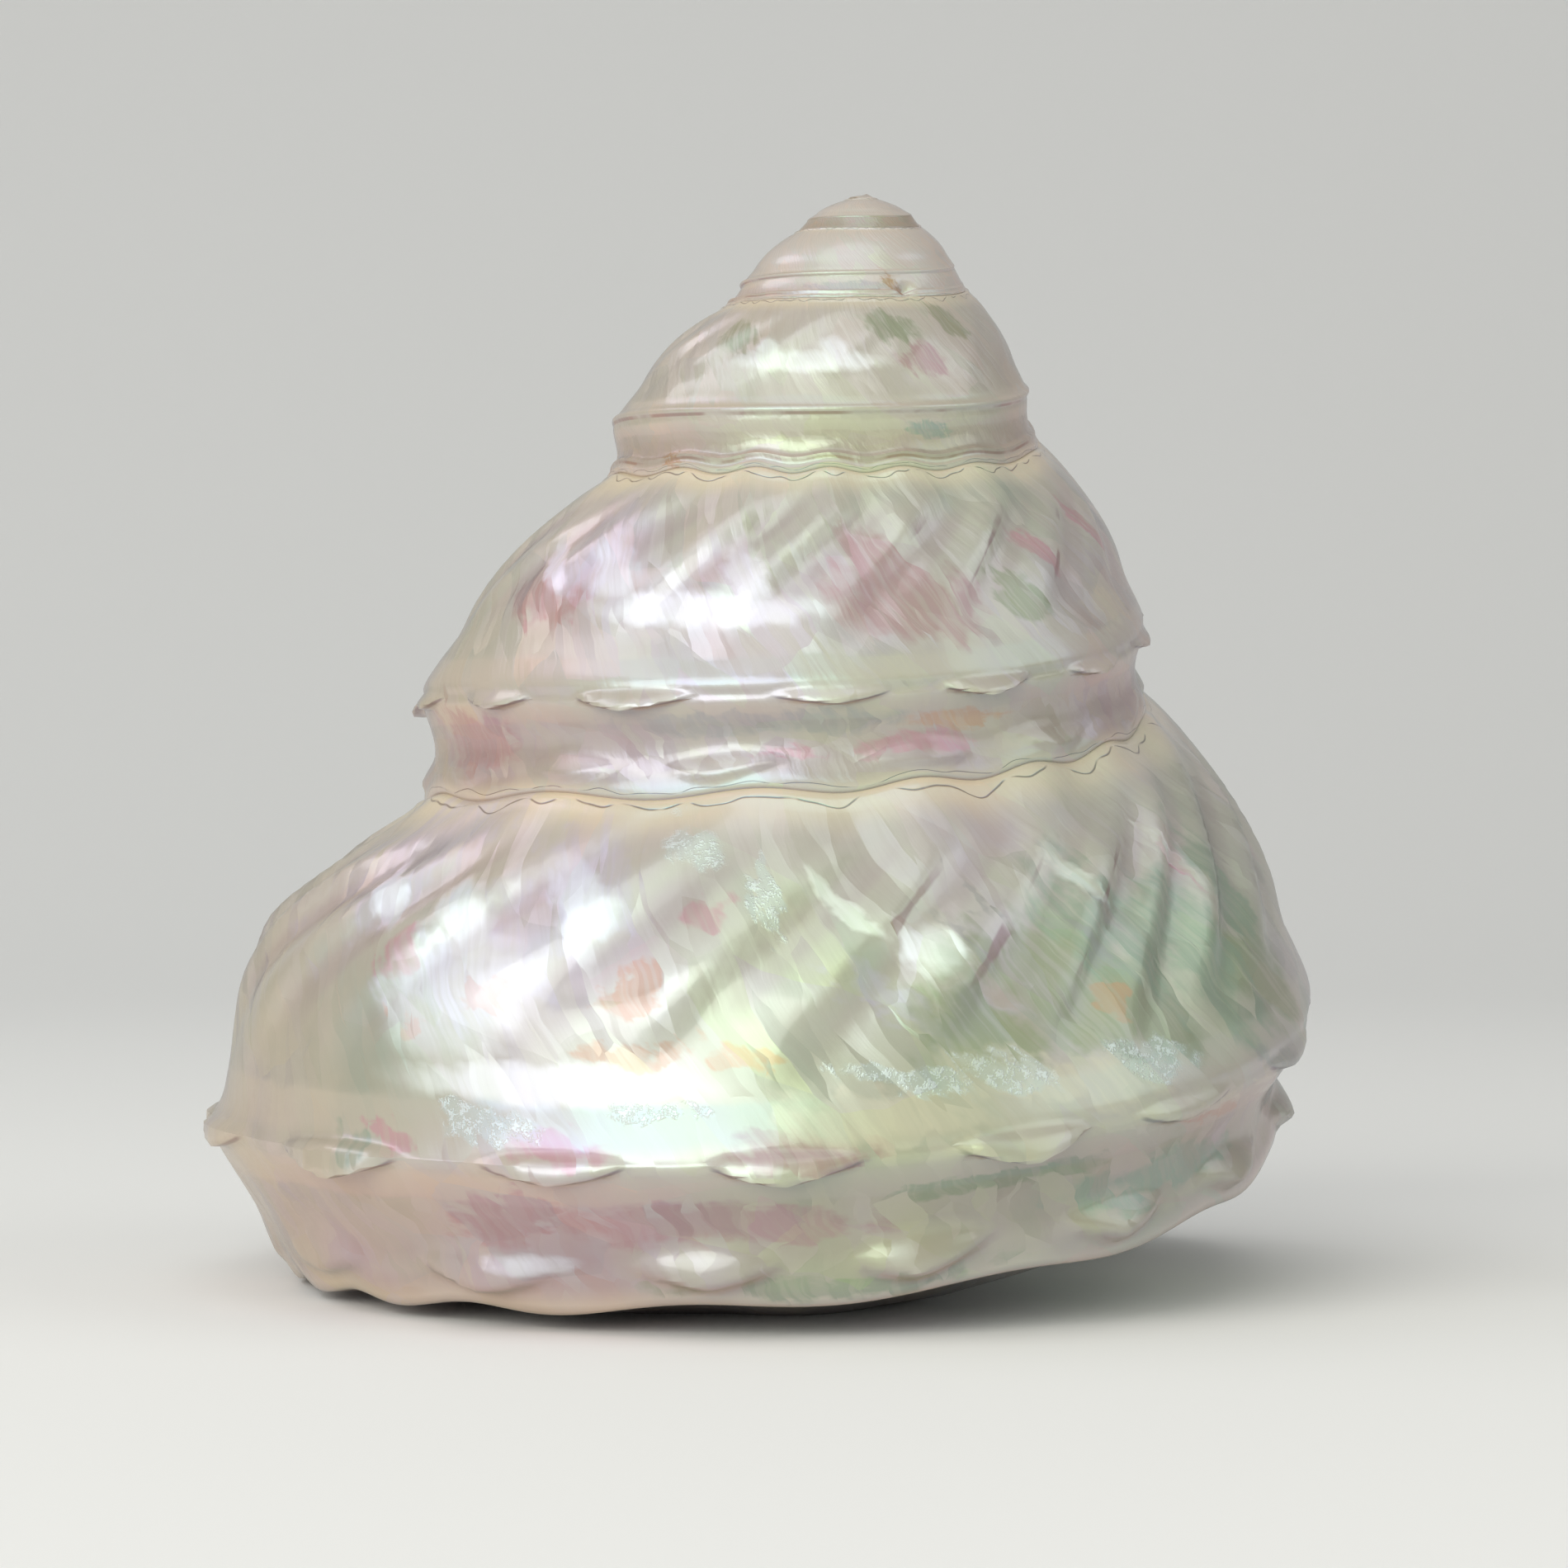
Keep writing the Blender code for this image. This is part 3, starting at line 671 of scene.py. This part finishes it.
# The valleys between the folds are darkened to mauve, partly their pinkish tint and partly painted
# shade. Each patch is streaked along the growth lines.
streaks = ranged(grain(scaled(bent, (0.9, 0.045, 1.0)), 1.0, 2.0)["Fac"], 0.40, 0.56, 0.65, 1.0)
folds_along = node("Attribute", {}, attribute_name="folds")["Fac"]
valley_shade = ranged(worked("COSINE", product(folds_along, 2 * math.pi)), 0.1, -0.9)
valley_shade = product(valley_shade, ranged(across_line, 0.08, 0.25), ranged(across_line, 0.75, 0.45),
                 ranged(along_line, -1.2, -0.9, 0.0, 0.42))
colour = blended(valley_shade, colour, VALLEY_SHADE_MAUVE)
for tint, (tint_colour, strength) in TINTS.items():
    colour = blended(product(masks[tint], streaks, strength), colour, tint_colour)
# Painted highlight: the gleaming patches are whitened.
colour = blended(product(gleam_and_painted_highlight, streaks, 0.4), colour, PAINTED_HIGHLIGHT_WHITE)

# Brown lines along the ridges of the third turn, and a brown band round the tip.
third_turn = product(ranged(along_line, -2.7, -2.4), ranged(along_line, -1.15, -1.4))
brown_lines = 0.0
for middle, width in ((0.975, 0.018), (1.80, 0.03)):
    line = ranged(apart(across_line, middle), width, width * 0.4)
    brown_lines = worked("MAXIMUM", line, brown_lines)
brown_lines = product(brown_lines, third_turn, ranged(fine_clouds, 0.40, 0.52))
colour = blended(product(brown_lines, 0.8), colour, RIDGE_BROWN)
tip_band = product(ranged(across_line, 0.88, 0.97), ranged(along_line, -3.25, -3.4))
colour = blended(product(tip_band, 0.7), colour, TIP_BROWN)

# Growth lines, flake spots whose tiny flecks are whitened as painted glints, and the fine broken crack
# along each seam.
lines = grain(scaled(bent, (0.55, 0.035, 1.0)), 1.0, 3.0)["Fac"]
colour = blended(product(ranged(lines, 0.55, 0.75), steadier, 0.25), colour, GROWTH_LINE_TAN)
flakes = worked("ADD", grain(coordinates["Object"], 5200.0, 2.0)["Fac"],
                product(grain(coordinates["Object"], 1300.0, 2.0)["Fac"], 1.4))
flakes_and_painted_glints = product(masks["flakes_and_painted_glints"], ranged(flakes, 1.18, 1.42))
colour = blended(product(masks["flakes_and_painted_glints"], 0.3), colour, FLAKY)
# Painted glints: the tiny flecks in the flake spots are whitened.
colour = blended(product(flakes_and_painted_glints, 0.5), colour, PAINTED_GLINT_WHITE)

broken = ranged(grain(scaled(skin, (0.13, 0.0, 0.0)), 1.0, 2.0)["Fac"], 0.42, 0.50)
wander = centred(grain(scaled(skin, (0.13, 0.0, 0.0)), 1.0, 0.5)["Fac"])
cracks = 0.0
for middle, waviness, width in ((0.026, 0.10, 0.0018), (1.935, -0.24, 0.004)):
    centre = worked("ADD", product(wander, waviness), middle)
    crack = ranged(apart(across_line, centre), width * 1.5, width * 0.5)
    cracks = worked("MAXIMUM", crack, cracks)
on_seam = worked("MAXIMUM", worked("LESS_THAN", across_line, 1.0),
                 worked("LESS_THAN", along_line, LIP_TURN - 0.9))
cracks = product(cracks, broken, on_seam)

# Painted shade: a dark line under each knob of the keel, where its steep underside turns from the
# light.
knob_off = node("Attribute", {}, attribute_name="knobs")["Fac"]
knob_off = apart(knob_off, worked("ROUND", knob_off))
knob_full = worked("POWER", worked("DIVIDE", knob_off, KNOB_REACH), KNOB_POINT)
knob_full = worked("SUBTRACT", 1.0, knob_full)
knob_crest, knob_sag = KEEL_KNOB[:2]
under_knob_shade = worked("ADD", product(knob_full, knob_sag), knob_crest + 0.022)
under_knob_shade = product(ranged(apart(across_line, under_knob_shade), 0.020, 0.005),
                     ranged(knob_full, 0.0, 0.25), ranged(along_line, -1.3, -0.95))
colour = blended(product(under_knob_shade, 0.8), colour, UNDER_KNOB_SHADE)

# Painted shade: dark reddish lines on the steep right-hand side of the folds, turned away from the
# light.
flank_shade = apart(worked("FRACT", folds_along), 0.80)
flank_shade = worked("ADD", flank_shade, product(centred(fine_clouds), 0.25))
to_the_right = product(worked("LESS_THAN", worked("FRACT", along_line), 0.25),
                       worked("GREATER_THAN", along_line, -1.0))
flank_shade = product(ranged(flank_shade, 0.05, 0.01), ranged(grain(skin, 0.10, 1.0)["Fac"], 0.42, 0.54),
                ranged(across_line, 0.20, 0.30), ranged(across_line, 0.60, 0.48), to_the_right)
colour = blended(product(flank_shade, 0.7), colour, FLANK_SHADE_RED)
colour = blended(product(cracks, 0.8), colour, CRACK_BROWN)
tree.links.new(colour, shader.inputs["Base Color"])

# Gloss. The facets lie at slightly different angles, so each one catches the light by itself. The
# gleaming patches, also whitened in colour as painted highlights, were ground flat to the front.
FACET_TILT = (0.21, 0.21, 0.21)
BROAD_FACET_TILT = (0.18, 0.18, 0.18)
GLEAM_AIM = (-0.22, -0.96, 0.16)
FILM = 254.0                     # the pearly film, in nanometres, as the three that add to it
FILM_CLOUDS = 70.0
FILM_FACETS = 24.0
FILM_RIGHTWARDS = 450.0          # per metre to the right
tree.links.new(product(pearly, 0.34), shader.inputs["Metallic"])
dullness = worked("ADD", product(pearly, 0.10), product(fine_clouds, 0.12))
tree.links.new(worked("ADD", dullness, 0.24), shader.inputs["Roughness"])
tilts = summed(scaled(scattered(cells), FACET_TILT), scaled(scattered(broad_cells), BROAD_FACET_TILT))
tilts = node("VectorMath", {0: tilts, "Scale": steadier}, operation="SCALE")["Vector"]
rise = worked("ADD", product(lines, 0.5), product(flakes_and_painted_glints, 0.6))
rise = worked("SUBTRACT", rise, cracks)
bump = node("Bump", {"Height": rise, "Strength": 0.35, "Distance": 0.0003})["Normal"]
facet = summed(bump, tilts)
aim = node("VectorMath", {0: GLEAM_AIM, "Scale": product(gleam_and_painted_highlight, 1.3)}, operation="SCALE")["Vector"]
facet = node("VectorMath", {0: summed(facet, aim)}, operation="NORMALIZE")["Vector"]
tree.links.new(facet, shader.inputs["Normal"])
film = worked("ADD", product(clouds, FILM_CLOUDS), product(broad_chance["Green"], FILM_FACETS))
rightwards = node("SeparateXYZ", {"Vector": coordinates["Object"]})["X"]
film = worked("ADD", film, product(rightwards, FILM_RIGHTWARDS))
film = worked("ADD", film, FILM)
tree.links.new(film, shader.inputs["Thin Film Thickness"])
shader.inputs["Thin Film IOR"].default_value = 1.61
shader.inputs["IOR"].default_value = 1.75
shader.inputs["Specular IOR Level"].default_value = 0.9
shader.inputs["Coat Weight"].default_value = 0.5
shader.inputs["Coat Roughness"].default_value = 0.12
shader.inputs["Coat IOR"].default_value = 1.6
pearl.data.materials.clear()
pearl.data.materials.append(pearl_finish)
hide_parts("shell")
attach(pearl, "root")

# The floor. A pale, matt sheet of paper that runs level under the shell and curves up behind it in
# one wide sweep.
FLOOR_WIDTH = 8.0
FLOOR_FRONT = -2.0
FLOOR_LENGTH = 6.0
SWEEP_START = 0.6
SWEEP_RADIUS = 1.2
bpy.ops.object.select_all(action="DESELECT")
bpy.ops.mesh.primitive_grid_add(x_subdivisions=2, y_subdivisions=60, size=2.0)
floor = bpy.context.object
floor.name = "floor"
for vertex in floor.data.vertices:
    way = (vertex.co.y + 1) / 2 * FLOOR_LENGTH + FLOOR_FRONT
    arc = min(max((way - SWEEP_START) / SWEEP_RADIUS, 0.0), math.pi / 2)
    upright = max(way - SWEEP_START - SWEEP_RADIUS * math.pi / 2, 0.0)
    back = min(way, SWEEP_START) + SWEEP_RADIUS * math.sin(arc)
    vertex.co = (vertex.co.x * FLOOR_WIDTH / 2, back, SWEEP_RADIUS * (1 - math.cos(arc)) + upright)
bpy.ops.object.shade_smooth()
paper = bpy.data.materials.new("paper")
paper.use_nodes = True
sheet = paper.node_tree.nodes["Principled BSDF"]
sheet.inputs["Base Color"].default_value = (0.83, 0.84, 0.84, 1.0)
sheet.inputs["Roughness"].default_value = 0.9
floor.data.materials.append(paper)

# The light. A wide oval softbox in front, to the left and a little above the shell, a dimmer one
# over it, a narrow one high on the left, a broad one on the right, and an even pale glow all round.


def softbox(name, azimuth, elevation, distance, size, watts, colour):
    """An oval light that looks at the shell's middle. Azimuth 0 is the camera's side."""
    lamp = bpy.data.lights.new(name, "AREA")
    lamp.shape = "ELLIPSE"
    lamp.size, lamp.size_y = size
    lamp.energy = watts
    lamp.color = colour
    holder = bpy.data.objects.new(name, lamp)
    a, e = math.radians(azimuth), math.radians(elevation)
    way = Vector((math.sin(a) * math.cos(e), -math.cos(a) * math.cos(e), math.sin(e)))
    middle = Vector((0.0, 0.0, 0.055))
    holder.location = middle + way * distance
    holder.rotation_euler = way.to_track_quat("Z", "Y").to_euler()
    bpy.context.scene.collection.objects.link(holder)
    return holder


softbox("key", -27.0, 20.0, 1.5, (1.7, 1.0), 19.0, (1.0, 0.975, 0.90))
softbox("top", -12.0, 66.0, 1.5, (1.4, 1.2), 5.0, (1.0, 0.97, 0.90))
softbox("left strip", -88.0, 46.0, 1.3, (1.6, 0.25), 2.5, (0.94, 0.97, 1.0))
softbox("right fill", 72.0, 28.0, 1.5, (1.2, 1.2), 4.0, (1.0, 0.98, 0.92))
world = bpy.data.worlds.new("glow")
world.use_nodes = True
world.node_tree.nodes["Background"].inputs["Color"].default_value = (0.97, 0.97, 0.96, 1.0)
world.node_tree.nodes["Background"].inputs["Strength"].default_value = 0.34
bpy.context.scene.world = world
bpy.context.scene.view_settings.view_transform = "Standard"
